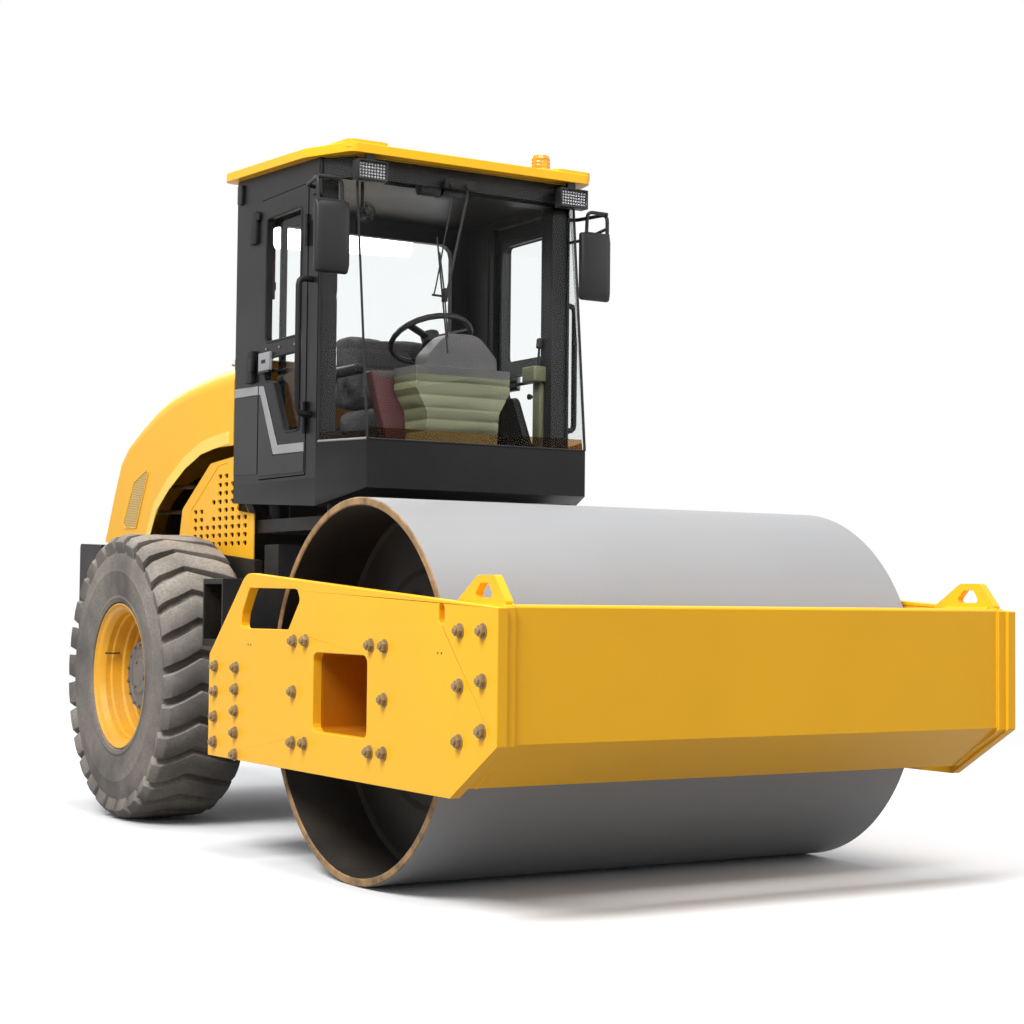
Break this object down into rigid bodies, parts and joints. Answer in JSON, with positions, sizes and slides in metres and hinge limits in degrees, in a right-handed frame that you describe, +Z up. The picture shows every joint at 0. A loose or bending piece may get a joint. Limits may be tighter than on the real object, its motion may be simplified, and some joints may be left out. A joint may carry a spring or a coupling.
{
  "type": "articulated single-drum road roller",
  "caption": "Articulated soil compactor: smooth steel drum in a yellow frame, closed cab over the pivot, tilting hood and two large rear tyres.",
  "frame": {"origin": "middle of the machine's length and width, on the ground it stands on", "axes": "+Z up, +Y towards the rear of the machine, -Y is the drum end, +X its left-hand side"},
  "size_m": [2.356, 5.408, 3.1304],
  "materials": {
    "yellow_paint": "glossy yellow machine enamel with light dust",
    "black_paint": "satin black enamel",
    "drum_steel": "turned and rolled bare steel, fine lines round the drum",
    "dark_steel": "dark primed castings with rust at the edges",
    "tyre_rubber": "worn dusty rubber",
    "chrome_rod": "polished",
    "cab_glass": "clear, slightly green",
    "seat_fabric": "dark woven seat cover under clear wrap",
    "olive_plastic": "moulded, ribbed",
    "black_plastic": "textured",
    "lamp_lens": "clear lens over reflectors",
    "amber_lens": "translucent amber"
  },
  "bodies": {
    "rear_frame": {"chassis": "black_paint", "counterweight": "black_paint", "axle_housing": "dark_steel", "engine_block": "dark_steel", "side_panel_right": "yellow_paint", "side_panel_left": "yellow_paint", "access_step_right": "black_paint", "access_step_left": "black_paint", "cab_platform": "black_paint", "cab_frame": "black_paint", "cab_roof": "yellow_paint", "windscreen": "cab_glass", "rear_glass": "cab_glass", "seat_base": "black_plastic", "seat_cushion": "seat_fabric", "seat_back": "seat_fabric", "console": "olive_plastic", "steering_wheel": "black_plastic", "grab_rail_right": "black_paint", "grab_rail_left": "black_paint", "mirror_right": "black_plastic", "mirror_left": "black_plastic", "work_lamp_right": "lamp_lens", "work_lamp_left": "lamp_lens", "beacon": "amber_lens"},
    "front_frame": {"side_plate_right": "yellow_paint", "side_plate_left": "yellow_paint", "drum_carrier_right": "yellow_paint", "drum_carrier_left": "yellow_paint", "front_beam": "yellow_paint", "rear_beam": "black_paint"},
    "drum": {"drum_shell": "drum_steel", "drum_core": "dark_steel"},
    "hood": {"hood": "yellow_paint"},
    "wheel_right": {"tyre_right": "tyre_rubber", "rim_right": "yellow_paint", "hub_right": "dark_steel"},
    "door_right": {"door_right": "black_paint", "door_glass_right": "cab_glass"},
    "barrel_right": {"steer_barrel_right": "yellow_paint"},
    "rod_right": {"steer_rod_right": "chrome_rod"},
    "wheel_left": {"tyre_left": "tyre_rubber", "rim_left": "yellow_paint", "hub_left": "dark_steel"},
    "door_left": {"door_left": "black_paint", "door_glass_left": "cab_glass"},
    "barrel_left": {"steer_barrel_left": "yellow_paint"},
    "rod_left": {"steer_rod_left": "chrome_rod"}
  },
  "joints": [
    {"name": "steering", "type": "hinge", "parent": "rear_frame", "child": "front_frame", "pos_m": [0, -0.096, 0.61], "axis": [0, 0, 1], "range_deg": [-30, 30]},
    {"name": "drum_roll", "type": "hinge", "parent": "front_frame", "child": "drum", "pos_m": [0, -1.546, 0.717], "axis": [1, 0, 0], "continuous": true},
    {"name": "wheel_roll_right", "type": "hinge", "parent": "rear_frame", "child": "wheel_right", "pos_m": [-0.8675, 0.918, 0.679], "axis": [1, 0, 0], "continuous": true},
    {"name": "wheel_roll_left", "type": "hinge", "parent": "rear_frame", "child": "wheel_left", "pos_m": [0.8675, 0.918, 0.679], "axis": [1, 0, 0], "continuous": true},
    {"name": "hood_tilt", "type": "hinge", "parent": "rear_frame", "child": "hood", "pos_m": [0, 2.389, 1.402], "axis": [-1, 0, 0], "range_deg": [0, 60]},
    {"name": "door_swing_right", "type": "hinge", "parent": "rear_frame", "child": "door_right", "pos_m": [-0.668, -0.251, 2.2], "axis": [0, 0, 1], "range_deg": [0, 90]},
    {"name": "door_swing_left", "type": "hinge", "parent": "rear_frame", "child": "door_left", "pos_m": [0.668, -0.251, 2.2], "axis": [0, 0, -1], "range_deg": [0, 90]},
    {"name": "barrel_swing_right", "type": "hinge", "parent": "rear_frame", "child": "barrel_right", "pos_m": [-0.37, 0.554, 0.56], "axis": [0, 0, 1], "range_deg": [-5.09, 5.09]},
    {"name": "rod_slide_right", "type": "slide", "parent": "barrel_right", "child": "rod_right", "axis": [-0.0648, -0.9979, 0], "range_m": [-0.2118, 0.2118]},
    {"name": "barrel_swing_left", "type": "hinge", "parent": "rear_frame", "child": "barrel_left", "pos_m": [0.37, 0.554, 0.56], "axis": [0, 0, 1], "range_deg": [-5.09, 5.09]},
    {"name": "rod_slide_left", "type": "slide", "parent": "barrel_left", "child": "rod_left", "axis": [0.0648, -0.9979, 0], "range_m": [-0.2118, 0.2118]}
  ],
  "couplings": [
    {"joint": "barrel_swing_right", "follows": "steering", "ratio": 0.1596},
    {"joint": "rod_slide_right", "follows": "steering", "m_per_rad": 0.4007},
    {"joint": "barrel_swing_left", "follows": "steering", "ratio": 0.1596},
    {"joint": "rod_slide_left", "follows": "steering", "m_per_rad": -0.4007}
  ]
}
